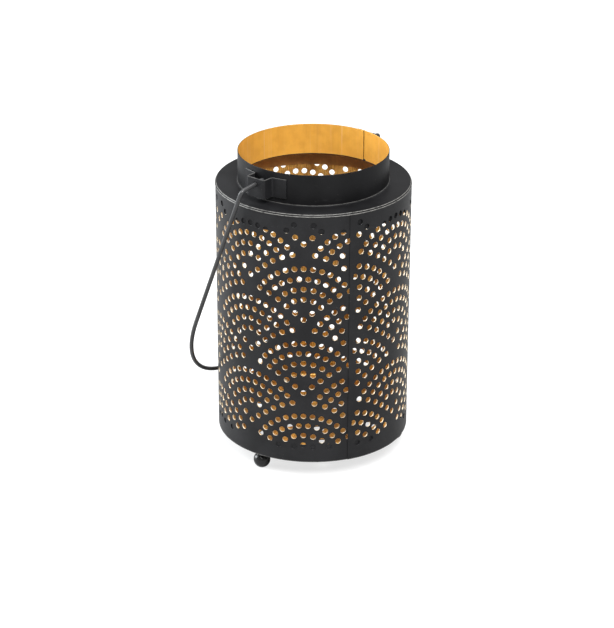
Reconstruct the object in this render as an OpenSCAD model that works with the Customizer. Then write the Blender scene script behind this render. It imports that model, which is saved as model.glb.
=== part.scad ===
// Hanging lantern for a candle: a rolled sheet body punched with a fan pattern, a pressed
// shoulder, an open neck with two ears, a base pan on three ball feet and a swinging wire
// bail. Lengths are in millimetres and angles in degrees. The table is at height zero,
// the body's axis is the Z axis and the bail's hinge line runs along X.

/* [Body] */
// Outer diameter of the body
body_d = 140; // [120:1:170]
// Height of the punched sheet
sheet_h = 188.5; // [150:0.5:260]
// Thickness of the sheet metal
sheet = 0.5; // [0.4:0.05:0.8]
// Width of the hidden strip where the rolled sheet laps under itself
seam_lap = 2; // [1.5:0.5:3]
// Turn from the left ear to the visible edge of the seam
seam_turn = 60.75; // [30:0.25:150]

/* [Fan pattern] */
// Diameter of a punched dot
dot_d = 4.2; // [3:0.1:5]
// Distance between the axes of neighbouring fans, along the sheet
fan_pitch = 40.66; // [38:0.01:50]
// Distance from one fan centre up to the next on the same axis
fan_rise = 56.74; // [52:0.01:70]
// Distance between the rings of dots in a fan
ring_gap = 7.68; // [7:0.01:8.5]
// First fan axis, measured from the visible edge of the seam
first_fan = 0.82; // [0:0.01:10]
// Lowest fan centre on the first axis, above the lower edge of the sheet
first_rise = -1.68; // [-10:0.01:10]
// Least distance from the seam's visible edge to a dot's rim, on either side
seam_margin = 0.9; // [0.5:0.1:6]

/* [Shoulder] */
// Height and radius of the cap's rolled edge
cap_round = 1.8; // [1:0.1:3]
// Depth of the cap's skirt inside the sheet
skirt_h = 12.6; // [8:0.1:20]
// Height of the bead of filler round the foot of the neck
bead = 0.7; // [0.4:0.1:1.2]

/* [Neck] */
// Outer diameter of the neck
neck_d = 107.4; // [90:0.1:110]
// Height of the neck above the shoulder
neck_h = 22.6; // [20:0.1:40]
// Width of the lap where the neck band is joined
neck_lap = 6; // [4:0.5:9]
// How far the shoulder reaches in under the neck's bore
neck_lip = 0.2; // [0.1:0.05:1]

/* [Ears] */
// Width of the ear's box
ear_w = 16; // [14:0.5:22]
// Height of the ear strap
ear_h = 14; // [10:0.5:16]
// Distance from the neck to the outer face of the ear
ear_stand = 8.85; // [6:0.05:9.5]
// Thickness of the ear strap
strap = 1; // [0.8:0.1:1.5]
// Outer radius of the strap's bends
strap_bend = 1.6; // [1.6:0.1:2.5]
// Distance across the ear from its middle to the end of a flange
flange_reach = 18.5; // [16.5:0.5:24]
// Height of the middle of the ear above the shoulder
ear_rise = 11.5; // [9:0.1:14]

/* [Bail] */
// Diameter of the wire
wire_d = 3; // [2:0.1:4]
// Distance from the body's side to the middle of a leg
leg_gap = 6.2; // [4:0.1:20]
// Length from the hinge line to the middle of the wire at the bottom
bail_l = 192.2; // [165:0.1:230]
// Radius of the bends beside the ears
bail_bend = 3; // [3:0.5:10]
// Length of the straight wire between the two bends at the bottom
bail_flat = 10.4; // [4:0.2:80]
// Height of the hinge line above the shoulder
hinge_rise = 14.2; // [11:0.1:16]
// Space round the wire in its ear hole
wire_play = 0.4; // [0.3:0.05:0.6]
// Space from the wire's end to the neck
end_gap = 1.1; // [0.8:0.1:2]
// Space between the resting bail and the body
rest_gap = 0.3; // [0.2:0.05:1]

/* [Base pan] */
// Height of the pan's underside above the lower edge of the sheet
pan_recess = 2; // [1:0.1:3]
// Height of the pan with its flange
pan_h = 12; // [8:0.5:20]
// Outer radius of the pan's bend
pan_bend = 2; // [1.5:0.1:4]
// Diameter of a vent hole
vent_d = 9; // [6:0.5:12]
// Distance of the outer vents from the axis
vent_far = 44; // [40:0.5:48]
// Distance of the inner vents from the axis
vent_near = 23; // [16:0.5:28]
// Turn from the left ear to the first row of vents
vent_turn = 49.5; // [0:0.5:60]

/* [Feet] */
// Diameter of a ball foot
foot_d = 12.2; // [11:0.1:14]
// Diameter of the stem above the ball
stem_d = 8; // [7:0.5:9]
// Length of the stem from the top of the ball to the pan
stem_l = 4.3; // [3:0.1:6]
// Distance of a foot's middle from the body's side
foot_inset = 9; // [8:0.5:16]
// Turn from the left ear to the first foot
foot_turn = 2.8; // [0:0.1:60]
// Turn from the first foot to each of the two others
foot_spread = 123; // [105:1:130]
// Diameter of the screw's shank
screw_d = 3; // [2.5:0.5:4]
// Diameter of the screw's head
head_d = 6; // [5:0.5:8]
// Height of the screw's head
head_h = 2; // [1.2:0.1:2.4]
// Length of the shank below the head
shank_l = 10; // [8:0.5:11]
// Width of the cross recess
recess_w = 0.8; // [0.6:0.1:1]
// Space round the shank in the pan and in the foot
screw_play = 0.15; // [0.1:0.05:0.3]

/* [Hidden] */
$fn = 64;

// how far a cut runs past the face that it opens
overrun = 1;
// depth to which welded strips run into each other
weld = 0.1;
// clearance between a pressed part and the sheet round it, and under the ear straps
slip = 0.1;
// depth of the screw's hole below the end of its shank
hole_spare = 0.5;

// dots in the rings of a fan, from its centre out, and the angle that each ring spans
ring_dots = [1, 2, 5, 7, 10, 13];
ring_turn = [0, 103, 104.8, 105.8, 110.3, 117.1];

left = 180;
body_r = body_d/2;
inner_r = body_r - 2*sheet;
pressed_r = inner_r - slip;
pan_z = foot_d + stem_l;
floor_z = pan_z + sheet;
table_gap = pan_z - pan_recess;
rim_z = table_gap + sheet_h;
shoulder_z = rim_z + cap_round;
top_z = shoulder_z + neck_h;
skirt_z = rim_z - skirt_h;
neck_r = neck_d/2;
bore_r = neck_r - sheet;
hinge_z = shoulder_z + hinge_rise;
ear_z = shoulder_z + ear_rise;
ear_x = neck_r + ear_stand;
leg_x = body_r + leg_gap;
bail_round = leg_x - bail_flat/2;
wire_in = neck_r + end_gap;
rest_tilt = asin((body_r + wire_d/2 + rest_gap)/bail_l);
foot_r = body_r - foot_inset;
flange_z = pan_z + pan_h;
head_r = (head_d*head_d/4 + head_h*head_h)/(2*head_h);
foot_turns = [for (i = [0, 1, -1]) left + foot_turn + i*foot_spread];

black = [0.16, 0.16, 0.17];
steel = [0.72, 0.72, 0.74];

// The sheet's own coordinates: along it from the seam's visible edge, and up from the table.
girth = PI*body_d;
fan_axes = ceil(girth/fan_pitch) + 1;
fan_tiers = ceil(sheet_h/fan_rise) + 1;
// The shop punches only dots that come clear of the seam, the pan's flange and the skirt.
function on_sheet(p) = p[0] - dot_d/2 > seam_margin && p[0] + dot_d/2 < girth - seam_margin
    && p[1] - dot_d/2 > flange_z && p[1] + dot_d/2 < skirt_z;
function fan(x, z) = [for (r = [0:len(ring_dots) - 1], i = [0:ring_dots[r] - 1])
    let (a = ring_dots[r] == 1 ? 0 : (i/(ring_dots[r] - 1) - 0.5)*ring_turn[r])
    [x + r*ring_gap*sin(a), z + r*ring_gap*cos(a)]];
dots = [for (k = [0:fan_axes], j = [-1:fan_tiers],
             p = fan(first_fan + k*fan_pitch,
                     table_gap + first_rise + (j + (k % 2)/2)*fan_rise))
    if (on_sheet(p)) p];

// A band rolled from flat sheet: four quadrants, each a little tighter than the last, so
// that the end of the band slips under its start, and the strip that laps there.
module rolled_band(r, t, h, lap) {
  step = t/4;
  mid = step/2;
  corners = [[mid, -mid], [mid, mid], [-mid, mid], [-mid, -mid]];
  for (i = [0:3])
    translate(corners[i]) rotate(90*i) rotate_extrude(angle = 90)
      translate([r - mid - i*step - t, 0]) square([t, h]);
  translate(corners[0]) rotate_extrude(angle = lap/r*180/PI)
    translate([r - mid - 2*t, 0]) square([t + weld, h]);
}

module punch(p) {
  rotate(p[0]/body_r*180/PI) translate([inner_r - overrun, 0, p[1]]) rotate([0, 90, 0])
    cylinder(d = dot_d, h = 2*sheet + 2*overrun);
}

module body_shell() {
  color(black)
    rotate(left + seam_turn) difference() {
      translate([0, 0, table_gap]) rolled_band(body_r, sheet, sheet_h, seam_lap);
      for (p = dots) punch(p);
    }
}

// Pressed cap: flat top with the neck hole, an edge rolled over onto the sheet and a skirt
// that slides inside it
module shoulder_cap() {
  hole_r = bore_r - neck_lip;
  round_r = body_r - cap_round;
  color(black)
    rotate_extrude() {
      difference() {
        translate([hole_r, skirt_z]) square([body_r - hole_r, shoulder_z - skirt_z]);
        difference() {
          translate([round_r, rim_z]) square(cap_round + overrun);
          translate([round_r, rim_z]) circle(r = cap_round);
        }
        translate([hole_r - overrun, skirt_z - overrun])
          square([pressed_r - sheet - hole_r + overrun, shoulder_z - sheet - skirt_z + overrun]);
        translate([pressed_r, skirt_z - overrun])
          square([body_r - pressed_r + overrun, rim_z - skirt_z + overrun]);
      }
      difference() {
        translate([neck_r + slip, shoulder_z - weld]) square([bead, bead + weld]);
        translate([neck_r + slip + bead, shoulder_z + bead]) circle(r = bead);
      }
    }
}

// Open band with its lap hidden behind the right ear
module neck_collar() {
  color(black)
    translate([0, 0, shoulder_z]) {
      difference() {
        cylinder(r = neck_r, h = neck_h);
        translate([0, 0, -overrun]) cylinder(r = bore_r, h = neck_h + 2*overrun);
      }
      rotate(-neck_lap/neck_d*180/PI) rotate_extrude(angle = 2*neck_lap/neck_d*180/PI)
        translate([neck_r - weld, 0]) square([sheet + weld, neck_h]);
    }
}

// Quarter of a dish's profile: flat bottom, rounded corner, upright wall
module dish(r, h, bend) {
  square([r - bend, h]);
  translate([0, bend]) square([r, h - bend]);
  translate([r - bend, bend]) circle(r = bend);
}

module base_pan() {
  color(black)
    difference() {
      translate([0, 0, pan_z]) rotate_extrude() difference() {
        dish(pressed_r, pan_h, pan_bend);
        translate([0, sheet]) dish(pressed_r - sheet, pan_h, pan_bend - sheet);
      }
      for (i = [0:5], r = [vent_near, vent_far])
        rotate(left + vent_turn + i*360/6) translate([r, 0, pan_z - overrun])
          cylinder(d = vent_d, h = sheet + 2*overrun);
      for (a = foot_turns)
        rotate(a) translate([foot_r, 0, pan_z - overrun])
          cylinder(d = screw_d + 2*screw_play, h = sheet + 2*overrun);
    }
}

// Ball with a stem up to the pan and a blind hole for its screw
module foot(a) {
  hole_z = floor_z - shank_l - hole_spare;
  color(black)
    rotate(a) translate([foot_r, 0, 0]) difference() {
      union() {
        translate([0, 0, foot_d/2]) sphere(d = foot_d);
        translate([0, 0, foot_d/2]) cylinder(d = stem_d, h = pan_z - foot_d/2);
      }
      translate([0, 0, hole_z])
        cylinder(d = screw_d + 2*screw_play, h = pan_z - hole_z + overrun);
    }
}

module foot_1() { foot(foot_turns[0]); }
module foot_2() { foot(foot_turns[1]); }
module foot_3() { foot(foot_turns[2]); }

// Button head with a cross recess, and its shank
module screw() {
  intersection() {
    translate([0, 0, head_h - head_r]) sphere(r = head_r);
    difference() {
      cylinder(d = head_d, h = head_h);
      for (a = [0, 90]) rotate(a)
        translate([-head_d/4, -recess_w/2, head_h/2]) cube([head_d/2, recess_w, head_h]);
    }
  }
  translate([0, 0, -shank_l]) cylinder(d = screw_d, h = shank_l + head_h/4);
}

module foot_screws() {
  color(steel)
    for (a = foot_turns) rotate(a) translate([foot_r, 0, floor_z]) screw();
}

// Plan of the strap's outer face: a box front with two rounded bends
module strap_front(w, x, bend) {
  translate([0, -w/2]) square([x - bend, w]);
  translate([0, bend - w/2]) square([x, w - 2*bend]);
  for (s = [-1, 1]) translate([x - bend, s*(w/2 - bend)]) circle(r = bend);
}

// Strap bent into a box that stands off the neck, with a flange welded on each side
module ear() {
  seat_r = neck_r + slip;
  color(black)
    difference() {
      translate([0, 0, ear_z - ear_h/2]) linear_extrude(ear_h) difference() {
        union() {
          strap_front(ear_w, ear_x, strap_bend);
          intersection() {
            circle(r = seat_r + strap);
            translate([0, -flange_reach]) square([ear_x, 2*flange_reach]);
          }
        }
        circle(r = seat_r);
        strap_front(ear_w - 2*strap, ear_x - strap, strap_bend - strap);
      }
      translate([neck_r, 0, hinge_z]) rotate([0, 90, 0])
        cylinder(d = wire_d + 2*wire_play, h = ear_stand + overrun);
    }
}

module ear_left() { rotate(left) ear(); }
module ear_right() { ear(); }

// One side of the bail, hanging down from the hinge line: the end that turns in the ear,
// its bend, the leg, the bottom bend and half of the straight bottom
module bail_side() {
  translate([wire_in, 0, 0]) rotate([0, 90, 0])
    cylinder(d = wire_d, h = leg_x - bail_bend - wire_in);
  translate([leg_x - bail_bend, 0, -bail_bend]) rotate([90, 0, 0])
    rotate_extrude(angle = 90) translate([bail_bend, 0]) circle(d = wire_d);
  translate([leg_x, 0, bail_round - bail_l])
    cylinder(d = wire_d, h = bail_l - bail_round - bail_bend);
  translate([leg_x - bail_round, 0, bail_round - bail_l]) rotate([90, 90, 0])
    rotate_extrude(angle = 90) translate([bail_round, 0]) circle(d = wire_d);
  translate([0, 0, -bail_l]) rotate([0, 90, 0]) cylinder(d = wire_d, h = leg_x - bail_round);
}

module bail() {
  color(black)
    translate([0, 0, hinge_z]) rotate([rest_tilt, 0, 0]) {
      bail_side();
      mirror([1, 0, 0]) bail_side();
    }
}

body_shell();
shoulder_cap();
neck_collar();
base_pan();
foot_1();
foot_2();
foot_3();
foot_screws();
ear_left();
ear_right();
bail();
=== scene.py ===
"""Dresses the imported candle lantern: punched shell, pressed cap, neck band, ears, wire bail,
base dish, ball feet and screws, with their lacquers, on a pale floor in soft light."""

import math

import bpy
import numpy as np
from mathutils import Matrix, Vector


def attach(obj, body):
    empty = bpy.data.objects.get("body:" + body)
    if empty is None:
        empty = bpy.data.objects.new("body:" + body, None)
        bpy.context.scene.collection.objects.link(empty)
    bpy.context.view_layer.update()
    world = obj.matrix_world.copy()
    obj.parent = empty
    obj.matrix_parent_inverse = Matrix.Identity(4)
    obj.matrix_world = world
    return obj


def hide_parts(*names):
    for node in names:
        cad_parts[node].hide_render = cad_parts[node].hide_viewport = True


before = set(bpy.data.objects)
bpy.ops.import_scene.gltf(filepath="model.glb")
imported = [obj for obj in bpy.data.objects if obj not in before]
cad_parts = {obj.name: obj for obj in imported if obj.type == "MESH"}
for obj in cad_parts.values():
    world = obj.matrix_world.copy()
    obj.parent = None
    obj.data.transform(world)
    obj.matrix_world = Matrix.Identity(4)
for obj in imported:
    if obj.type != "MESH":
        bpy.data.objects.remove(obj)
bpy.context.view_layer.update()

# Sizes in millimetres and degrees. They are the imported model's, apart from the next three, which
# are the scene's own: the height of the dots' burrs, the sheet's lap inside its seam, and the
# slope of the bail's ends.
BURR = 0.4
SEAM_LAP = 3.2
BAIL_SLOPE = math.radians(9)

MM = 0.001
BODY_R = 70.0
SHEET = 0.5
FOOT_D = 12.2
STEM_D = 8.0
PAN_Z = FOOT_D + 4.3
TABLE_GAP = PAN_Z - 2.0
SHEET_H = 188.5
SEAM_ANGLE = 240.75
RIM_Z = TABLE_GAP + SHEET_H
CAP_ROUND = 1.8
SHOULDER_Z = RIM_Z + CAP_ROUND
SKIRT_Z = RIM_Z - 12.6
PRESSED_R = BODY_R - 2 * SHEET - 0.1
NECK_R = 53.7
NECK_H = 22.6
NECK_LAP = 6.0
NECK_LIP = 0.2
TOP_Z = SHOULDER_Z + NECK_H
EAR_W, EAR_H, EAR_STAND, EAR_REACH, STRAP, STRAP_BEND = 16.0, 14.0, 8.85, 18.5, 1.0, 1.6
EAR_HOLE = 3.8
EAR_Z = SHOULDER_Z + 11.5
HINGE_Z = SHOULDER_Z + 14.2
WIRE_D = 3.0
BAIL_L, BAIL_BEND, LEG_GAP, END_GAP, REST_GAP = 192.2, 3.0, 6.2, 1.1, 0.3
FLOOR_Z = PAN_Z + SHEET
FLANGE_Z = PAN_Z + 12.0
FOOT_R = 61.0
FOOT_TURN, FOOT_SPREAD = 182.8, 123.0
FOOT_TURNS = [FOOT_TURN + FOOT_SPREAD * i for i in (0, 1, -1)]

# How finely fillets are drawn, and the radius at which brushing round the axis is to scale.
FILLET_STEPS = 4
BRUSHING_R = 62.0

# The camera that was fitted to the photograph, and the light.
CAMERA_TURN = -50.3
CAMERA_RISE = 24.367
CAMERA_ROLL = 0.152
CAMERA_DISTANCE = 1564.7
CAMERA_TARGET = Vector((-4.253, 0, 99.541))
FOCAL_PIXELS = 2145.4
PICTURE_WIDTH = 614.0
SENSOR_WIDTH = 36.0
VIEWER = CAMERA_TURN - 90.0
LIGHTS_AIM = Vector((0, 0, 0.11))
FLOOR_HALF = 4.0
FLOOR_GREY, FLOOR_GLOW = 0.36, 0.7
WORLD_GLOW, WORLD_SHEEN = 0.5, 0.36


# Node trees


class Signal:
    """A socket that can be used in sums: each operator adds its Math node."""

    def __init__(self, tree, socket):
        self.tree, self.socket = tree, socket

    def math(self, operation, *others):
        values = dict(enumerate((self, *others)))
        return self.tree.add("ShaderNodeMath", {"operation": operation}, values)

    def __add__(self, other):
        return self.math("ADD", other)

    __radd__ = __add__

    def __sub__(self, other):
        return self.math("SUBTRACT", other)

    def __rsub__(self, other):
        return self.tree.add("ShaderNodeMath", {"operation": "SUBTRACT"}, {0: other, 1: self})

    def __mul__(self, other):
        return self.math("MULTIPLY", other)

    __rmul__ = __mul__

    def __truediv__(self, other):
        return self.math("DIVIDE", other)

    def __gt__(self, other):
        return self.math("GREATER_THAN", other)

    def __lt__(self, other):
        return self.math("LESS_THAN", other)

    def ramp(self, low, high):
        """0 below low, 1 above high, smooth between; low may be the larger."""
        if low > high:
            return 1.0 - self.ramp(high, low)
        settings = {"interpolation_type": "SMOOTHSTEP"}
        values = {"Value": self, "From Min": low, "From Max": high}
        return self.tree.add("ShaderNodeMapRange", settings, values)


class Tree:
    """A node tree with one way to add a node: its type, settings, then socket values."""

    def __init__(self, tree):
        self.tree = tree

    def add(self, kind, settings=None, values=None, out=0):
        node = self.tree.nodes.new(kind)
        for key, value in (settings or {}).items():
            setattr(node, key, value)
        for key, value in (values or {}).items():
            socket = self._find(node.inputs, key)
            if isinstance(value, Signal):
                self.tree.links.new(value.socket, socket)
            else:
                socket.default_value = value
        return Signal(self, self._find(node.outputs, out)) if len(node.outputs) else None

    @staticmethod
    def _find(sockets, key):
        if isinstance(key, int):
            return sockets[key]
        found = [s for s in sockets if s.identifier == key]
        return found[0] if found else [s for s in sockets if s.name == key and s.enabled][0]


class Finish(Tree):
    """A material whose parts are laid out in millimetres on the object's own coordinates."""

    def __init__(self, name):
        self.material = bpy.data.materials.new(name)
        self.material.use_nodes = True
        super().__init__(self.material.node_tree)
        self.tree.nodes.clear()
        place = self.add("ShaderNodeTexCoord", out="Object")
        self.place = self.vector("SCALE", place, Scale=1.0 / MM)
        parts = self.tree.nodes.new("ShaderNodeSeparateXYZ")
        self.tree.links.new(self.place.socket, parts.inputs[0])
        self.x, self.y, self.z = (Signal(self, parts.outputs[i]) for i in range(3))
        self.radius = (self.x * self.x + self.y * self.y).math("SQRT")

    def vector(self, operation, *values, **more):
        values = {**dict(enumerate(values)), **more}
        return self.add("ShaderNodeVectorMath", {"operation": operation}, values, "Vector")

    def join(self, x, y, z):
        return self.add("ShaderNodeCombineXYZ", values={0: x, 1: y, 2: z})

    def stretched(self, x, y, z):
        """The place with each direction scaled, for marks that run one way."""
        return self.vector("MULTIPLY", self.place, (x, y, z))

    def noise(self, size, place=None, detail=3.0, rough=0.55, twist=0.0, seed=0.0):
        """Cloudy noise whose patches are about size millimetres across, from 0 to 1."""
        spot = place or self.place
        if seed:
            spot = self.vector("ADD", spot, (seed * 13.7, seed * 5.1, seed * 9.3))
        values = {"Vector": spot, "Scale": 1.0 / size, "Detail": detail, "Roughness": rough}
        return self.add("ShaderNodeTexNoise", values={**values, "Distortion": twist})

    def cells(self, size, seed):
        """The distance to the nearest of the points that lie about size millimetres apart."""
        spot = self.vector("ADD", self.place, (seed * 7.7, seed * 3.1, seed * 4.3))
        values = {"Vector": spot, "Scale": 1.0 / size}
        return self.add("ShaderNodeTexVoronoi", {"feature": "F1"}, values, "Distance")

    def mix(self, mask, under, over):
        """Colour under where the mask is 0 and over where it is 1."""
        values = {"Factor_Float": mask, "A_Color": colour(under), "B_Color": colour(over)}
        return self.add("ShaderNodeMix", {"data_type": "RGBA"}, values, "Result_Color")

    def tint(self, shade, amount):
        """A colour made lighter or darker by a number."""
        return self.vector("SCALE", shade, Scale=amount)

    def bump(self, height, depth, under=None):
        """A normal from a height of 0 to 1 that stands depth millimetres at most."""
        values = {"Height": height, "Distance": depth * MM, "Strength": 1.0}
        if under is not None:
            values["Normal"] = under
        return self.add("ShaderNodeBump", values=values, out="Normal")

    def close(self, **sockets):
        """The shader itself, and the material's output."""
        names = {key.replace("_", " "): value for key, value in sockets.items()}
        names["Base Color"] = colour(names["Base Color"])
        shader = self.add("ShaderNodeBsdfPrincipled", values=names, out="BSDF")
        self.add("ShaderNodeOutputMaterial", values={"Surface": shader})
        return self.material


def colour(value):
    return value if isinstance(value, Signal) else (*value[:3], 1.0)


def srgb(red, green, blue):
    """A colour that is given as it looks on a screen, from 0 to 255."""
    parts = (c / 255.0 for c in (red, green, blue))
    return tuple(c / 12.92 if c <= 0.04045 else ((c + 0.055) / 1.055) ** 2.4 for c in parts)


# Finishes


def black_lacquer(
    name, shade=(0.012, 0.012, 0.013), rough=0.4, painted_highlight=None, highlight_amount=0.8, refraction=1.27
):
    """Satin black lacquer on steel: orange peel, slow waves of the sheet, dust, scuffs, and a grey
    painted highlight along edges, broken up by noise. The edge mask passed in says where that painted
    highlight goes, the next argument how much of its broken-up part shows, and refraction the lacquer's
    index, which is higher where it shines more."""
    f = Finish(name)
    clouds = f.noise(26.0, detail=4.0, seed=1.0)
    peel = f.noise(0.9, detail=2.0, rough=0.5)
    waves = f.noise(17.0, detail=1.5, rough=0.4, seed=2.0)
    fine = f.noise(0.55, detail=3.0, rough=0.7, seed=8.0)
    dust = f.cells(2.6, seed=3.0).ramp(0.13, 0.05) * f.noise(9.0, seed=4.0).ramp(0.52, 0.68)
    scuffs = f.noise(5.0, place=f.stretched(0.5, 0.5, 2.2), detail=5.0, rough=0.7, twist=0.6, seed=5.0)
    scuffs = scuffs.ramp(0.6, 0.74)
    base = f.mix(clouds.ramp(0.3, 0.7), tuple(c * 0.75 for c in shade), tuple(c * 1.3 for c in shade))
    base = f.tint(base, 0.7 + fine * 0.6)
    base = f.mix(dust * 0.5, base, (0.11, 0.105, 0.1))
    base = f.mix(scuffs * 0.2, base, (0.06, 0.06, 0.062))
    matt = rough + (clouds - 0.5) * 0.16 + (fine - 0.5) * 0.12 + scuffs * 0.12 + dust * 0.2
    # Painted highlight: the masked edges are lightened to grey and made a little glossier.
    if painted_highlight is not None:
        edge = painted_highlight(f) * (f.noise(3.0, detail=5.0, rough=0.7, seed=7.0).ramp(0.3, 0.62) * highlight_amount + 0.2)
        base = f.mix(edge.math("MINIMUM", 0.9), base, (0.2, 0.195, 0.185))
        matt = matt - edge * 0.08
    return f.close(
        Base_Color=base,
        Roughness=matt.math("MAXIMUM", 0.12),
        Normal=f.bump(peel * 0.35 + fine * 0.12 + waves * 4.0, 0.035),
        Metallic=0.0,
        IOR=refraction,
    )


def gold_lacquer(name, shade, deep, rough, metal, patchy=0.5, reflection_streaks=0.0):
    """Gold lacquer over brushed steel: fine upright brushing, cloudy tone, darker runs and specks.
    patchy is how far the clouds go towards the deep colour, and the streak amount how much painted
    reflection shows in pale upright bands."""
    f = Finish(name)
    round_about = f.x.math("ARCTAN2", f.y) * BRUSHING_R
    brushed = f.join(round_about, f.z * 0.03, f.radius * 0.2)
    lines = f.noise(0.7, place=brushed, detail=4.0, rough=0.65)
    broad = f.noise(9.0, place=brushed, detail=3.0, rough=0.5, seed=2.0)
    clouds = f.noise(22.0, detail=4.0, seed=3.0)
    runs = f.noise(5.0, place=f.join(round_about, f.z * 0.12, f.radius), detail=4.0, seed=4.0)
    specks = f.cells(3.1, seed=5.0).ramp(0.1, 0.03) * f.noise(8.0, seed=6.0).ramp(0.5, 0.66)
    patches = f.noise(7.0, detail=2.0, seed=9.0)
    tone = (clouds * 0.5 + patches * 0.5).ramp(0.36, 0.62) * patchy
    base = f.mix((tone + runs.ramp(0.55, 0.8) * 0.3).math("MINIMUM", 1.0), shade, deep)
    # Painted reflection: pale upright streaks mixed into the colour.
    if reflection_streaks:
        reflection_bands = f.noise(3.2, place=f.join(round_about, f.z * 0.02, 0.0), detail=5.0, rough=0.7, seed=7.0)
        base = f.mix(reflection_bands.ramp(0.54, 0.72) * reflection_streaks, base, srgb(236, 208, 170))
    base = f.tint(base, 0.95 + (lines - 0.5) * 0.12)
    base = f.mix(specks * 0.6, base, srgb(120, 78, 34))
    matt = rough + (lines - 0.5) * 0.2 + (clouds - 0.5) * 0.12
    return f.close(
        Base_Color=base,
        Roughness=matt.math("MAXIMUM", 0.15),
        Metallic=metal,
        Normal=f.bump(lines * 0.6 + broad * 2.0, 0.02),
    )


def zinc_steel(name):
    """Zinc-plated screw: brushed round its head, dull in the recess, with a few spots."""
    f = Finish(name)
    clouds = f.noise(1.2, detail=4.0)
    rings = f.noise(0.22, detail=2.0, seed=2.0)
    spots = f.noise(0.8, detail=4.0, rough=0.7, seed=3.0).ramp(0.6, 0.72)
    base = f.mix(clouds, (0.5, 0.5, 0.5), (0.68, 0.67, 0.64))
    base = f.mix(spots * 0.6, base, (0.22, 0.18, 0.14))
    return f.close(
        Base_Color=base,
        Roughness=0.3 + clouds * 0.15 + spots * 0.2,
        Metallic=1.0,
        Normal=f.bump(rings + spots, 0.01),
    )


# Shapes


def finished(name, mesh, body, slot_name, *nodes):
    """The mesh as a piece that rides on a body and stands for CAD nodes."""
    piece = bpy.data.objects.new(name, mesh)
    mesh.name = name
    bpy.context.scene.collection.objects.link(piece)
    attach(piece, body)
    if nodes:
        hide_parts(*nodes)
    return piece


def rounded(corners):
    """A closed outline of (radius, height, fillet) corners, counterclockwise, as points with
    their outward normals."""
    out = []
    count = len(corners)
    for i, (r, z, fillet) in enumerate(corners):
        here = np.array([r, z])
        before = here - np.array(corners[i - 1][:2])
        after = np.array(corners[(i + 1) % count][:2]) - here
        before, after = before / np.linalg.norm(before), after / np.linalg.norm(after)
        turn = math.atan2(before[0] * after[1] - before[1] * after[0], float(before @ after))
        if abs(turn) < 1e-6 or abs(r) < 1e-6:
            out.append((r, z, after[1], -after[0]))
            continue
        reach = fillet * math.tan(abs(turn) / 2)
        side = math.copysign(1.0, turn)
        inward = np.array([-before[1], before[0]]) * side
        middle = here - before * reach + inward * fillet
        first = math.atan2(-inward[1], -inward[0])
        arcs = max(2, int(FILLET_STEPS * min(3.0, 0.6 + fillet)))
        for j in range(arcs + 1):
            a = first + turn * j / arcs
            out.append((middle[0] + fillet * math.cos(a), middle[1] + fillet * math.sin(a),
                        side * math.cos(a), side * math.sin(a)))
    return out


def turned(name, outline, segments, materials, pick=None):
    """A solid turned round the Z axis from a closed outline with normals, in millimetres.
    pick gives a face's material number from its middle's radius, height and normal."""
    count = len(outline)
    angles = [2 * math.pi * i / segments for i in range(segments)]
    places, normals, index = [], [], {}
    for j, (r, z, nr, nz) in enumerate(outline):
        for i, a in enumerate(angles):
            if r < 1e-6 and i:
                index[j, i] = index[j, 0]
                continue
            index[j, i] = len(places)
            places.append((r * math.cos(a) * MM, r * math.sin(a) * MM, z * MM))
            on_axis = (0, 0, math.copysign(1, nz))
            normals.append((nr * math.cos(a), nr * math.sin(a), nz) if r > 1e-6 else on_axis)
    faces, numbers = [], []
    for j in range(count):
        k = (j + 1) % count
        if outline[j][0] < 1e-6 and outline[k][0] < 1e-6:
            continue
        for i in range(segments):
            n = (i + 1) % segments
            loop = [index[j, i], index[j, n], index[k, n], index[k, i]]
            loop = [v for m, v in enumerate(loop) if v != loop[m - 1]]
            if len(loop) < 3:
                continue
            faces.append(loop)
            if pick:
                (r1, z1, a1, b1), (r2, z2, a2, b2) = outline[j], outline[k]
                numbers.append(pick((r1 + r2) / 2, (z1 + z2) / 2, (a1 + a2) / 2, (b1 + b2) / 2))
    mesh = bpy.data.meshes.new(name)
    mesh.from_pydata(places, [], faces)
    for material in materials:
        mesh.materials.append(material)
    if numbers:
        mesh.polygons.foreach_set("material_index", numbers)
    mesh.shade_smooth()
    mesh.normals_split_custom_set_from_vertices(normals)
    mesh.update()
    return mesh


def evaluated(piece):
    """The piece's mesh with its modifiers applied."""
    bpy.context.view_layer.update()
    graph = bpy.context.evaluated_depsgraph_get()
    return bpy.data.meshes.new_from_object(piece.evaluated_get(graph))


def drilled(blank_mesh, cutter_mesh):
    """The blank with the cutters taken away, shaded by its larger faces."""
    blank = bpy.data.objects.new("blank", blank_mesh)
    cutter = bpy.data.objects.new("cutter", cutter_mesh)
    for o in (blank, cutter):
        bpy.context.scene.collection.objects.link(o)
    cut = blank.modifiers.new("drill", "BOOLEAN")
    cut.operation, cut.object, cut.solver = "DIFFERENCE", cutter, "EXACT"
    blank.modifiers.new("shade", "WEIGHTED_NORMAL").keep_sharp = True
    made = evaluated(blank)
    for o in (blank, cutter):
        bpy.data.objects.remove(o)
    return made


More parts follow.
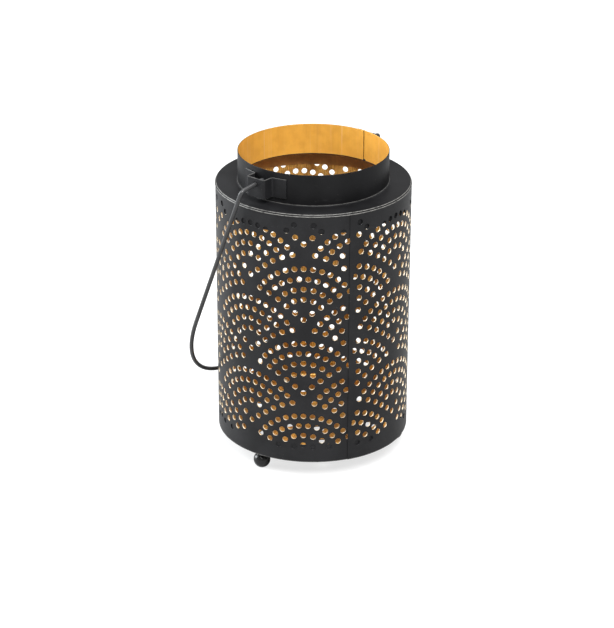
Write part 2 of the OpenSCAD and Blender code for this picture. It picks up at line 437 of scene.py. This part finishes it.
def grown(tree_name, sockets, build, materials=()):
    """The plain mesh that a Geometry Nodes tree makes. sockets are its named inputs and their
    values, and build gets the tree and its inputs and returns the geometry. materials are pairs
    of a material and a function that chooses its faces, or None for all of them."""
    group = bpy.data.node_groups.new(tree_name, "GeometryNodeTree")
    kinds = {float: "NodeSocketFloat", int: "NodeSocketInt"}
    identifiers = {}
    for name, value in sockets.items():
        item = group.interface.new_socket(name, in_out="INPUT", socket_type=kinds[type(value)])
        item.default_value = value
        identifiers[name] = item.identifier
    group.interface.new_socket("Geometry", in_out="OUTPUT", socket_type="NodeSocketGeometry")
    tree = Tree(group)
    inputs = group.nodes.new("NodeGroupInput")
    given = {name: Signal(tree, inputs.outputs[name]) for name in sockets}
    made = build(tree, given)
    made = tree.add("GeometryNodeRealizeInstances", values={0: made})
    for material, chosen in materials:
        values = {"Geometry": made, "Material": material}
        if chosen is not None:
            values["Selection"] = chosen(tree)
        made = tree.add("GeometryNodeSetMaterial", values=values)
    tree.add("NodeGroupOutput", values={0: made})
    maker = bpy.data.objects.new(tree_name, bpy.data.meshes.new(tree_name))
    bpy.context.scene.collection.objects.link(maker)
    modifier = maker.modifiers.new("grow", "NODES")
    modifier.node_group = group
    for name, value in sockets.items():
        modifier[identifiers[name]] = value
    maker.update_tag()
    mesh = evaluated(maker)
    maker.modifiers.remove(modifier)
    bpy.data.objects.remove(maker)
    return mesh


# Punched shell


RING_DOTS = (1, 2, 5, 7, 10, 13)
RING_TURN = (0.0, 103.0, 104.8, 105.8, 110.3, 117.1)
FAN = {
    "Body radius": BODY_R, "Sheet height": SHEET_H, "Sheet thickness": SHEET, "Burr": BURR,
    "Table gap": TABLE_GAP, "Seam lap": SEAM_LAP, "Seam angle": SEAM_ANGLE, "Seam margin": 0.9,
    "End margin": 0.5, "Bare top": 4.0, "Bare foot": 10.0,
    "Dot diameter": 4.2, "Dot corners": 14, "Lip width": 0.13, "Lip depth": 0.12,
    "Fan pitch": 40.66, "Fan rise": 56.74, "Ring gap": 7.68, "First fan": 0.82, "First rise": -1.68,
    "Fan axes": 12, "Fan tiers": 7, "Bends": 186,
}


def stepped(signal, starts, values):
    """A value that jumps to the next one where the signal reaches each start."""
    total = values[0]
    for start, before, after in zip(starts[1:], values, values[1:]):
        total = (signal > (start - 0.5)) * (after - before) + total
    return total


def fan_dots(tree, size):
    """Points for the dots: fans of rings on upright axes, every other axis half a rise up."""
    rings = range(len(RING_DOTS))
    starts = [sum(RING_DOTS[:i]) for i in rings]
    per_fan = float(sum(RING_DOTS))
    number = tree.add("GeometryNodeInputIndex")
    per_axis = size["Fan tiers"] * per_fan
    axis = (number / per_axis).math("FLOOR")
    tier = (number.math("MODULO", per_axis) / per_fan).math("FLOOR") - 1.0
    dot = number.math("MODULO", per_fan)
    ring = stepped(dot, starts, [float(i) for i in rings])
    place = dot - stepped(dot, starts, [float(s) for s in starts])
    gaps = stepped(dot, starts, [max(1.0, n - 1.0) for n in RING_DOTS])
    turn = stepped(dot, starts, [math.radians(t) for t in RING_TURN])
    angle = (place / gaps - 0.5) * turn
    reach = ring * size["Ring gap"]
    along = size["First fan"] + axis * size["Fan pitch"] + reach * angle.math("SINE")
    up = (
        size["Table gap"] + size["First rise"]
        + (tier + axis.math("MODULO", 2.0) * 0.5) * size["Fan rise"] + reach * angle.math("COSINE")
    )
    half = size["Dot diameter"] * 0.5
    girth = size["Body radius"] * (2 * math.pi)
    inside = (
        (along - half > size["Seam margin"])
        * (along + half < girth + size["Seam lap"] - size["End margin"])
        * (up - half > size["Bare foot"] + size["Table gap"])
        * (up + half < size["Table gap"] + size["Sheet height"] - size["Bare top"])
    )
    spots = tree.add("GeometryNodePoints", values={
        "Count": size["Fan axes"] * size["Fan tiers"] * per_fan,
        "Position": tree.add("ShaderNodeCombineXYZ", values={0: along, 2: up}),
    })
    return tree.add("GeometryNodeDeleteGeometry", {"domain": "POINT"}, {0: spots, 1: 1.0 - inside})


def split(tree, vector):
    """The three parts of a vector."""
    parts = tree.tree.nodes.new("ShaderNodeSeparateXYZ")
    tree.tree.links.new(vector.socket, parts.inputs[0])
    return [Signal(tree, parts.outputs[i]) for i in range(3)]


def dot_punch(tree, size):
    """The punch for one dot, pointing into the sheet, with a lip that rounds the outer rim."""
    blank = tree.add(
        "GeometryNodeMeshCylinder", {"fill_type": "NGON"},
        {"Vertices": size["Dot corners"], "Side Segments": 3, "Radius": 1.0, "Depth": 1.0}, "Mesh",
    )
    x, y, z = split(tree, tree.add("GeometryNodeInputPosition"))
    deep = size["Sheet thickness"] + size["Burr"] + 0.5
    low, middle, high = z > -0.3, z > 0.0, z > 0.3
    wide = size["Dot diameter"] * 0.5 + middle * size["Lip width"] + high * size["Lip width"] * 2.0
    lip = size["Lip depth"]
    out = low * (deep - lip) + middle * lip + high * lip * 2.0 - deep
    where = tree.add("ShaderNodeCombineXYZ", values={0: x * wide, 1: y * wide, 2: out})
    return tree.add("GeometryNodeSetPosition", values={"Geometry": blank, "Position": where})


def punched_sheet(tree, size):
    """The flat sheet with its dots punched, rolled up so that its end slips under its start.
    The dots' burrs are drawn as a thicker sheet, which thins out towards the seam."""
    girth = size["Body radius"] * (2 * math.pi)
    length = girth + size["Seam lap"]
    thick = size["Sheet thickness"] + size["Burr"]

    def vector(x, y, z):
        return tree.add("ShaderNodeCombineXYZ", values={0: x, 1: y, 2: z})

    flat = tree.add("GeometryNodeMeshCube", values={
        "Size": vector(length, thick, size["Sheet height"]),
        "Vertices X": size["Bends"], "Vertices Y": 2, "Vertices Z": 2,
    }, out="Mesh")
    middle = vector(length * 0.5, thick * 0.5, size["Sheet height"] * 0.5 + size["Table gap"])
    flat = tree.add("GeometryNodeTransform", values={"Geometry": flat, "Translation": middle})
    punches = tree.add("GeometryNodeInstanceOnPoints", values={
        "Points": fan_dots(tree, size), "Instance": dot_punch(tree, size),
        "Rotation": (math.pi / 2, 0, 0),
    })
    punches = tree.add("GeometryNodeRealizeInstances", values={0: punches})
    flat = tree.add(
        "GeometryNodeMeshBoolean", {"operation": "DIFFERENCE", "solver": "MANIFOLD"},
        {"Mesh 1": flat, "Mesh 2": punches}, "Mesh",
    )
    x, y, z = split(tree, tree.add("GeometryNodeInputPosition"))
    facing = split(tree, tree.add("GeometryNodeInputNormal"))[1]
    hair = 0.01
    edge = (x < hair) + (x > length - hair) + (z < size["Table gap"] + hair)
    edge = edge + (z > size["Table gap"] + size["Sheet height"] - hair)
    side = (1.0 - (facing < -0.3)) * (1.0 - (facing > 0.3)) * (1.0 - edge)
    clear = (z > FLANGE_Z) * (z < SKIRT_Z)
    outside, wall = (facing < -0.3) + edge + side * (1.0 - clear), side * clear
    for name, value in (("outside", outside), ("wall", wall)):
        flat = tree.add(
            "GeometryNodeStoreNamedAttribute", {"data_type": "FLOAT", "domain": "FACE"},
            {"Geometry": flat, "Name": name, "Value": value},
        )
    turn = x / size["Body radius"] + size["Seam angle"] * (math.pi / 180)
    full = x.ramp(3.6, 6.0) * (girth - x).ramp(1.0, 3.5)
    thinned = (size["Sheet thickness"] + size["Burr"] * full) / thick
    slip = 0.04
    radius = size["Body radius"] - (size["Sheet thickness"] + slip) * x / girth - y * thinned
    rolled = vector(radius * turn.math("COSINE"), radius * turn.math("SINE"), z)
    sheet = tree.add("GeometryNodeSetPosition", values={"Geometry": flat, "Position": rolled})
    return tree.add("GeometryNodeTransform", values={"Geometry": sheet, "Scale": (MM, MM, MM)})


def marked(name):
    """Chooses the faces whose stored value of this name is 1."""
    def chosen(tree):
        kind = {"data_type": "FLOAT"}
        return tree.add("GeometryNodeInputNamedAttribute", kind, {"Name": name}, "Attribute") > 0.5

    return chosen


def set_round_normals(mesh):
    """Faces of the rolled skin shade as a true cylinder; the walls of the dots shade as they are."""
    mesh.shade_smooth()
    mesh.set_sharp_from_angle(angle=math.radians(35))
    places = np.zeros(len(mesh.vertices) * 3)
    mesh.vertices.foreach_get("co", places)
    corners = np.zeros(len(mesh.loops), int)
    mesh.loops.foreach_get("vertex_index", corners)
    counts = np.zeros(len(mesh.polygons), int)
    mesh.polygons.foreach_get("loop_total", counts)
    faces = np.zeros(len(mesh.polygons) * 3)
    mesh.polygons.foreach_get("normal", faces)
    out = places.reshape(-1, 3)[corners]
    out[:, 2] = 0
    out /= np.linalg.norm(out, axis=1)[:, None]
    facing = (np.repeat(faces.reshape(-1, 3), counts, axis=0) * out).sum(1)
    normals = np.where((np.abs(facing) > 0.9)[:, None], out * np.sign(facing)[:, None], 0.0)
    mesh.normals_split_custom_set([tuple(n) for n in normals])


def make_shell(black, gold, pale):
    """Rolled sheet: black outside, gold inside, and pale where the punch bared the dots' walls."""
    layers = ((gold, None), (pale, marked("wall")), (black, marked("outside")))
    mesh = grown("PunchedSheet", FAN, punched_sheet, layers)
    for name in ("outside", "wall"):
        mesh.attributes.remove(mesh.attributes[name])
    set_round_normals(mesh)
    return finished("punched_shell", mesh, "lantern", "black_sheet", "body_shell")


# Cap, neck, ears


def make_cap(black, dark):
    """Pressed shoulder with its rolled hem, hidden skirt and bead round the foot of the neck."""
    hole = NECK_R - SHEET - NECK_LIP
    edge = BODY_R - 0.02
    hem = edge - 0.4
    foot = NECK_R + 0.02
    outline = rounded([
        (hole, SHOULDER_Z - SHEET, 0.15), (PRESSED_R - SHEET, SHOULDER_Z - SHEET, 1.2),
        (PRESSED_R - SHEET, SKIRT_Z, 0.12), (PRESSED_R, SKIRT_Z, 0.12), (PRESSED_R, RIM_Z + 0.02, 0.1),
        (edge, RIM_Z + 0.02, 0.1), (edge, RIM_Z + 0.3, 0.1), (hem, RIM_Z + 0.7, 0.25),
        (hem, SHOULDER_Z, 0.95),
        (foot + 0.9, SHOULDER_Z, 0.7), (foot, SHOULDER_Z + 0.75, 0.12),
        (foot - 0.4, SHOULDER_Z + 0.7, 0.1), (foot - 0.4, SHOULDER_Z, 0.1), (hole, SHOULDER_Z, 0.2),
    ])

    def inner(r, z, nr, nz):
        below = nz < -0.4 and r < PRESSED_R - 0.1
        skirt = nr < -0.4 and r > PRESSED_R - 3.0 and z < RIM_Z
        return 1 if below or skirt else 0

    mesh = turned("cap", outline, 240, (black, dark), inner)
    return finished("pressed_cap", mesh, "lantern", "black_sheet", "shoulder_cap")


def strip(name, path, low, high, thick, fillet, materials, pick=None):
    """A strip bent along a plan path of (x, y, nx, ny) points, where n points to its outer side.
    pick gives a face's material number from how far it faces outwards."""
    half = thick / 2
    corners = ((-half, low), (half, low), (half, high), (-half, high))
    section = rounded([(*corner, fillet) for corner in corners])
    count = len(section)
    places, normals, faces, numbers = [], [], [], []
    for x, y, nx, ny in path:
        for off, z, a, b in section:
            places.append(((x + nx * off) * MM, (y + ny * off) * MM, z * MM))
            normals.append((nx * a, ny * a, b))
    for i in range(len(path) - 1):
        for j in range(count):
            k = (j + 1) % count
            faces.append((i * count + j, (i + 1) * count + j, (i + 1) * count + k, i * count + k))
            numbers.append(pick((section[j][2] + section[k][2]) / 2) if pick else 0)
    faces.append(tuple(range(count)))
    faces.append(tuple(range(len(path) * count - 1, (len(path) - 1) * count - 1, -1)))
    numbers += [0, 0]
    mesh = bpy.data.meshes.new(name)
    mesh.from_pydata(places, [], faces)
    for material in materials:
        mesh.materials.append(material)
    mesh.polygons.foreach_set("material_index", numbers)
    mesh.shade_smooth()
    for face in list(mesh.polygons)[-2:]:
        face.use_smooth = False
    mesh.normals_split_custom_set_from_vertices(normals)
    mesh.update()
    return mesh


def make_neck(black, gold):
    """Open band whose end steps out and laps over its start, behind the right ear."""
    lap = math.degrees(NECK_LAP / NECK_R)
    path, middle = [], NECK_R - SHEET / 2
    step_out, step_turn, step_start = SHEET + 0.03, 2.2, 360 - lap / 2 - 2.6
    steps = 240
    for i in range(steps + 1):
        turn = -lap / 2 + (360 + lap) * i / steps
        out = min(1.0, max(0.0, (turn - step_start) / step_turn))
        r = middle + step_out * out * out * (3 - 2 * out)
        a = math.radians(turn)
        path.append((r * math.cos(a), r * math.sin(a), math.cos(a), math.sin(a)))

    def inner(facing):
        return 1 if facing < -0.3 else 0

    mesh = strip("neck", path, SHOULDER_Z - 0.3, TOP_Z, SHEET, 0.2, (black, gold), inner)
    return finished("neck_band", mesh, "lantern", "black_sheet", "neck_collar")


def ear_path(side):
    """Plan of the bent strap: flange on the neck, out along one side of the box, across its
    front and back down the other side."""
    half, root = STRAP / 2, 1.3
    seat, front = NECK_R + 0.1 + half, NECK_R + EAR_STAND - half
    wall = EAR_W / 2 - half
    corner = STRAP_BEND - half
    rise = root + half
    middle_y = wall + rise
    middle_x = math.sqrt((seat + rise) ** 2 - middle_y**2)
    root_turn = math.atan2(middle_y, middle_x)
    points = []
    end = math.asin(EAR_REACH / (seat + half))
    for i in range(9):
        a = end + (root_turn - end) * i / 8
        points.append((seat * math.cos(a), seat * math.sin(a), math.cos(a), math.sin(a)))
    for i in range(1, 9):
        a = root_turn + math.pi + (math.pi * 1.5 - root_turn - math.pi) * i / 8
        c, s = math.cos(a), math.sin(a)
        points.append((middle_x + rise * c, middle_y + rise * s, -c, -s))
    for i in range(9):
        a = math.pi / 2 * (1 - i / 8)
        points.append((front - corner + corner * math.cos(a), wall - corner + corner * math.sin(a),
                       math.cos(a), math.sin(a)))
    points += [(x, -y, nx, -ny) for x, y, nx, ny in reversed(points)]
    return [(side * x, -side * y, side * nx, -side * ny) for x, y, nx, ny in points]


def make_ear(name, side, black, node):
    """Strap ear with its wire hole drilled through the front of the box."""
    low, high = EAR_Z - EAR_H / 2, EAR_Z + EAR_H / 2
    blank = strip(name, ear_path(side), low, high, STRAP, 0.28, (black,))
    radius, reach = EAR_HOLE / 2, 4.0
    outline = [(0.0, -reach, 0), (radius, -reach, 0.05), (radius, reach, 0.05), (0.0, reach, 0)]
    drill = turned("drill", rounded(outline), 32, ())
    drill.transform(Matrix.Rotation(math.pi / 2, 4, "Y"))
    drill.transform(Matrix.Translation((side * (NECK_R + EAR_STAND) * MM, 0, HINGE_Z * MM)))
    return finished(name, drilled(blank, drill), "lantern", "black_sheet", node)


# Bail


def bail_line():
    """Centreline of the wire in its own plane: (across, down) points from one ear to the other.
    The ends slope down from the ears to the bends."""
    leg, bend, bottom = BODY_R + LEG_GAP, BAIL_BEND, BODY_R + 1.0
    pivot, slope = NECK_R + EAR_STAND - STRAP / 2, math.tan(BAIL_SLOPE)
    first = leg - bend + bend * math.sin(BAIL_SLOPE)
    inner = NECK_R + END_GAP
    after = inner + 0.4
    low = (first - pivot) * slope + bend * math.cos(BAIL_SLOPE)
    across = [inner, *(after + (first - after) * i / 6 for i in range(7))]
    side = [(x, (x - pivot) * slope) for x in across]
    for i in range(1, 11):
        a = BAIL_SLOPE + (math.pi / 2 - BAIL_SLOPE) * i / 10
        side.append((leg - bend + bend * math.sin(a), low - bend * math.cos(a)))
    side += [(leg, low + (BAIL_L - bottom - low) * i / 24) for i in range(1, 25)]
    for i in range(1, 37):
        a = math.pi / 2 * i / 36
        side.append((leg - bottom + bottom * math.cos(a), BAIL_L - bottom + bottom * math.sin(a)))
    return [(-x, d) for x, d in side] + [(x, d) for x, d in reversed(side)]


def make_bail(black):
    """One bent wire with its cut ends slightly rounded."""
    tilt = math.asin((BODY_R + WIRE_D / 2 + REST_GAP) / BAIL_L)
    line = np.array([(x, d * math.sin(tilt), HINGE_Z - d * math.cos(tilt)) for x, d in bail_line()])
    ahead = np.gradient(line, axis=0)
    ahead /= np.linalg.norm(ahead, axis=1)[:, None]
    side = np.array([0.0, math.cos(tilt), math.sin(tilt)])
    radii = np.full(len(line), WIRE_D / 2)
    radii[0] = radii[-1] = WIRE_D / 2 - 0.3
    count, places, faces, normals = 20, [], [], []
    for centre, way, radius in zip(line, ahead, radii):
        across = np.cross(way, side)
        for i in range(count):
            a = 2 * math.pi * i / count
            out = side * math.cos(a) + across * math.sin(a)
            places.append((centre + out * radius) * MM)
            normals.append(out)
    for i in range(len(line) - 1):
        for j in range(count):
            k = (j + 1) % count
            faces.append((i * count + j, i * count + k, (i + 1) * count + k, (i + 1) * count + j))
    faces.append(tuple(range(count - 1, -1, -1)))
    faces.append(tuple((len(line) - 1) * count + j for j in range(count)))
    mesh = bpy.data.meshes.new("bail")
    mesh.from_pydata([tuple(p) for p in places], [], faces)
    mesh.materials.append(black)
    mesh.shade_smooth()
    for face in list(mesh.polygons)[-2:]:
        face.use_smooth = False
    mesh.normals_split_custom_set_from_vertices([tuple(n) for n in normals])
    mesh.update()
    return finished("bail_wire", mesh, "bail", "black_wire", "bail")


# Base dish, feet, screws


DISH = {"Vent diameter": 9.0, "Far vents": 44.0, "Near vents": 23.0, "Vent turn": 229.5, "Vents": 6,
        "Screw hole": 3.3, "Screw ring": FOOT_R, "Screw turn": FOOT_TURN, "Screws": 3,
        "Vent spread": 60.0, "Screw spread": FOOT_SPREAD}


def dish_cutters(tree, size):
    """The vents in two rings and the screw holes, as one set of upright cutters."""
    sets = []
    for count, ring, first, spread, wide in (
        ("Vents", "Far vents", "Vent turn", "Vent spread", "Vent diameter"),
        ("Vents", "Near vents", "Vent turn", "Vent spread", "Vent diameter"),
        ("Screws", "Screw ring", "Screw turn", "Screw spread", "Screw hole"),
    ):
        number = tree.add("GeometryNodeInputIndex")
        steps = number - (number > size[count] * 0.5) * size[count]
        turn = (steps * size[spread] + size[first]) * (math.pi / 180)
        where = tree.add("ShaderNodeCombineXYZ", values={
            0: turn.math("COSINE") * size[ring], 1: turn.math("SINE") * size[ring], 2: FLOOR_Z})
        spots = tree.add("GeometryNodePoints", values={"Count": size[count], "Position": where})
        drill = tree.add("GeometryNodeMeshCylinder", {"fill_type": "NGON"},
                         {"Vertices": 40, "Radius": size[wide] * 0.5, "Depth": 4.0}, "Mesh")
        placed = {"Points": spots, "Instance": drill}
        sets.append(tree.add("GeometryNodeInstanceOnPoints", values=placed))
    join = tree.tree.nodes.new("GeometryNodeJoinGeometry")
    for one in sets:
        tree.tree.links.new(one.socket, join.inputs[0])
    joined = Signal(tree, join.outputs[0])
    scaled = tree.add("GeometryNodeTransform", values={"Geometry": joined, "Scale": (MM, MM, MM)})
    return tree.add("GeometryNodeRealizeInstances", values={0: scaled})


def make_dish(black, gold):
    """Pressed base dish with its upright flange; the vents and screw holes are cut through it."""
    wall, inner = PRESSED_R, PRESSED_R - SHEET
    outline = rounded([
        (0.0, PAN_Z, 0), (wall, PAN_Z, 2.0), (wall, FLANGE_Z, 0.2), (inner, FLANGE_Z, 0.2),
        (inner, FLOOR_Z, 1.5), (0.0, FLOOR_Z, 0),
    ])

    def inside(r, z, nr, nz):
        return 1 if nz > 0.3 or (nr < -0.3 and r < wall - 0.1) else 0

    blank = turned("dish", outline, 180, (black, gold), inside)
    cutters = grown("DishCutters", DISH, dish_cutters)
    return finished("base_dish", drilled(blank, cutters), "lantern", "black_sheet", "base_pan")


def make_foot(number, black):
    """Turned ball with a stem that flares a little under the dish."""
    half, stem, turn = FOOT_D / 2, STEM_D / 2, math.radians(FOOT_TURNS[number])
    meet = math.acos((stem + 0.25) / half)
    outline = [(0.0, 0.0, 0.0, -1.0)]
    for i in range(1, 27):
        a = -math.pi / 2 + (meet + math.pi / 2) * i / 26
        outline.append((half * math.cos(a), half + half * math.sin(a), math.cos(a), math.sin(a)))
    neck = half + half * math.sin(meet) + 0.5
    outline += [(stem, neck, 1.0, 0.0), (stem, PAN_Z - 0.5, 1.0, 0.0)]
    outline += [(stem + 0.12, PAN_Z - 0.12, 0.8, 0.6), (stem - 0.1, PAN_Z, 0.0, 1.0)]
    outline.append((0.0, PAN_Z, 0.0, 1.0))
    mesh = turned("foot", outline, 48, (black,))
    mesh.transform(Matrix.Translation((FOOT_R * math.cos(turn) * MM, FOOT_R * math.sin(turn) * MM, 0)))
    return finished(f"ball_foot_{number + 1}", mesh, "lantern", "black_foot", f"foot_{number + 1}")


# Stage


def looked_at(tree, rays):
    """1 for rays that come from the camera, straight or through a clear surface."""
    kinds = ("Is Camera Ray", "Is Transmission Ray")
    straight, through = (Signal(tree, rays.outputs[kind]) for kind in kinds)
    return straight.math("MAXIMUM", through)


def make_floor():
    """Floor that looks white and keeps the lantern's shadow."""
    f = Finish("floor_paper")
    rays = f.tree.nodes.new("ShaderNodeLightPath")
    seen = looked_at(f, rays)
    plain = f.add("ShaderNodeBsdfDiffuse", values={"Color": (*[FLOOR_GREY] * 3, 1.0)}, out="BSDF")
    shine = {"Color": (1.0, 1.0, 1.0, 1.0), "Strength": seen * FLOOR_GLOW}
    glow = f.add("ShaderNodeEmission", values=shine, out="Emission")
    both = f.add("ShaderNodeAddShader", values={0: plain, 1: glow})
    f.add("ShaderNodeOutputMaterial", values={"Surface": both})
    mesh = bpy.data.meshes.new("floor")
    half = FLOOR_HALF
    corners = [(-half, -half, 0), (half, -half, 0), (half, half, 0), (-half, half, 0)]
    mesh.from_pydata(corners, [], [(0, 1, 2, 3)])
    mesh.materials.append(f.material)
    floor = bpy.data.objects.new("floor", mesh)
    bpy.context.scene.collection.objects.link(floor)


def make_world():
    """Surroundings that are white where they are seen, and dimmer where they light the lantern."""
    world = bpy.data.worlds.new("studio")
    bpy.context.scene.world = world
    world.use_nodes = True
    world.node_tree.nodes.clear()
    w = Tree(world.node_tree)
    rays = world.node_tree.nodes.new("ShaderNodeLightPath")
    seen = looked_at(w, rays)
    mirrored = Signal(w, rays.outputs["Is Glossy Ray"])
    glow = seen.math("MAXIMUM", WORLD_GLOW - mirrored * (WORLD_GLOW - WORLD_SHEEN))
    sky = w.add("ShaderNodeBackground", values={"Color": (1, 1, 1, 1), "Strength": glow})
    w.add("ShaderNodeOutputWorld", values={"Surface": sky})


def soft_light(name, turn, rise, distance, wide, high, watts, shade=(1.0, 1.0, 1.0)):
    """A softbox that looks at the middle of the lantern from a turn and a rise in degrees, with
    its distance and sides in metres."""
    light = bpy.data.lights.new(name, "AREA")
    light.shape, light.size, light.size_y = "RECTANGLE", wide, high
    light.energy, light.color = watts, shade
    lamp = bpy.data.objects.new(name, light)
    a, e = math.radians(turn), math.radians(rise)
    way = Vector((math.cos(a) * math.cos(e), math.sin(a) * math.cos(e), math.sin(e)))
    lamp.location = LIGHTS_AIM + way * distance
    lamp.rotation_euler = way.to_track_quat("Z", "Y").to_euler()
    bpy.context.scene.collection.objects.link(lamp)


def make_camera():
    """The fitted camera, for a frame of 614 by 628 pixels."""
    rise, roll = math.radians(CAMERA_RISE), math.radians(CAMERA_ROLL)
    turn = Matrix.Rotation(math.radians(CAMERA_TURN), 4, "Z")
    back = Vector((0, -math.cos(rise), math.sin(rise)))
    right, up = Vector((1, 0, 0)), Vector((0, math.sin(rise), math.cos(rise)))
    across = right * math.cos(roll) + up * math.sin(roll)
    upward = up * math.cos(roll) - right * math.sin(roll)
    place = CAMERA_TARGET + back * CAMERA_DISTANCE
    pose = Matrix((across, upward, back)).transposed().to_4x4()
    pose.translation = place * MM
    data = bpy.data.cameras.new("camera")
    data.sensor_fit, data.sensor_width = "HORIZONTAL", SENSOR_WIDTH
    data.lens = FOCAL_PIXELS * SENSOR_WIDTH / PICTURE_WIDTH
    camera = bpy.data.objects.new("camera", data)
    camera.matrix_world = turn @ pose
    bpy.context.scene.collection.objects.link(camera)
    bpy.context.scene.camera = camera


# The lantern


def hem_highlights(f):
    """Where the cap's painted highlights go: two lines along its hem, and a fainter one on the crest of
    the bead round the neck.
    """
    upper = (f.radius - (BODY_R - 0.75)).math("ABSOLUTE").ramp(0.3, 0.1)
    upper = upper * f.z.ramp(SHOULDER_Z - 0.6, SHOULDER_Z - 0.2)
    lower = f.radius.ramp(BODY_R - 0.4, BODY_R - 0.15) * f.z.ramp(RIM_Z + 0.75, RIM_Z + 0.45)
    bead = f.radius.ramp(NECK_R + 0.9, NECK_R + 0.6) * 0.3
    bead = bead * f.z.ramp(SHOULDER_Z + 0.3, SHOULDER_Z + 0.6)
    return upper.math("MAXIMUM", lower).math("MAXIMUM", bead)


def foot_edge_highlight(f):
    """Where the painted highlight goes along the cut edge of the shell at its foot."""
    return f.z.ramp(TABLE_GAP + 0.7, TABLE_GAP + 0.2) * 0.6


def strap_highlights(f):
    """Where the painted highlights go along the upper and lower edges of the ear straps."""
    return (f.z - EAR_Z).math("ABSOLUTE").ramp(EAR_H / 2 - 0.35, EAR_H / 2 - 0.05) * 0.35


body_black = black_lacquer("black_lacquer_body", painted_highlight=foot_edge_highlight, refraction=1.32)
cap_black = black_lacquer(
    "black_lacquer_cap", shade=(0.009, 0.009, 0.0098), rough=0.42, painted_highlight=hem_highlights, highlight_amount=0.9)
neck_black = black_lacquer("black_lacquer_neck", shade=(0.007, 0.007, 0.0075), rough=0.42)
ear_black = black_lacquer("black_lacquer_ears", rough=0.38, painted_highlight=strap_highlights)
wire_black = black_lacquer(
    "black_lacquer_wire", shade=(0.03, 0.03, 0.031), rough=0.34, refraction=1.5)
foot_black = black_lacquer(
    "black_lacquer_feet", shade=(0.007, 0.007, 0.007), rough=0.26, refraction=1.5)
neck_gold = gold_lacquer(
    "gold_lacquer_neck", srgb(230, 174, 74), srgb(204, 148, 60),
    rough=0.4, metal=0.3, patchy=0.45, reflection_streaks=0.25)
gold = gold_lacquer(
    "gold_lacquer_inside", srgb(248, 204, 116), srgb(158, 112, 56),
    rough=0.28, metal=0.6, patchy=0.85)
pale_gold = gold_lacquer(
    "gold_lacquer_walls", srgb(255, 246, 226), srgb(238, 214, 170), rough=0.3, metal=0.3)
# Darker gold for the underside and skirt of the cap.
dark_gold = gold_lacquer(
    "gold_lacquer_dark", srgb(168, 124, 70), srgb(108, 76, 44), rough=0.5, metal=0.2)

make_camera()
make_shell(body_black, gold, pale_gold)
make_cap(cap_black, dark_gold)
make_neck(neck_black, neck_gold)
make_ear("ear_strap_left", -1, ear_black, "ear_left")
make_ear("ear_strap_right", 1, ear_black, "ear_right")
make_bail(wire_black)
make_dish(body_black, gold)
for foot_number in range(len(FOOT_TURNS)):
    make_foot(foot_number, foot_black)
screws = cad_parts["foot_screws"]
screws.data.materials.clear()
screws.data.materials.append(zinc_steel("zinc_screws"))

make_floor()
make_world()
soft_light("side", VIEWER - 104, rise=22, distance=1.8, wide=0.9, high=1.5, watts=54.0,
           shade=(0.93, 0.97, 1.0))
soft_light("front", VIEWER + 12, rise=52, distance=2.0, wide=1.2, high=1.0, watts=60.0)
soft_light("top", VIEWER + 160, rise=76, distance=1.8, wide=1.2, high=1.0, watts=14.0)
bpy.context.scene.view_settings.view_transform = "Standard"
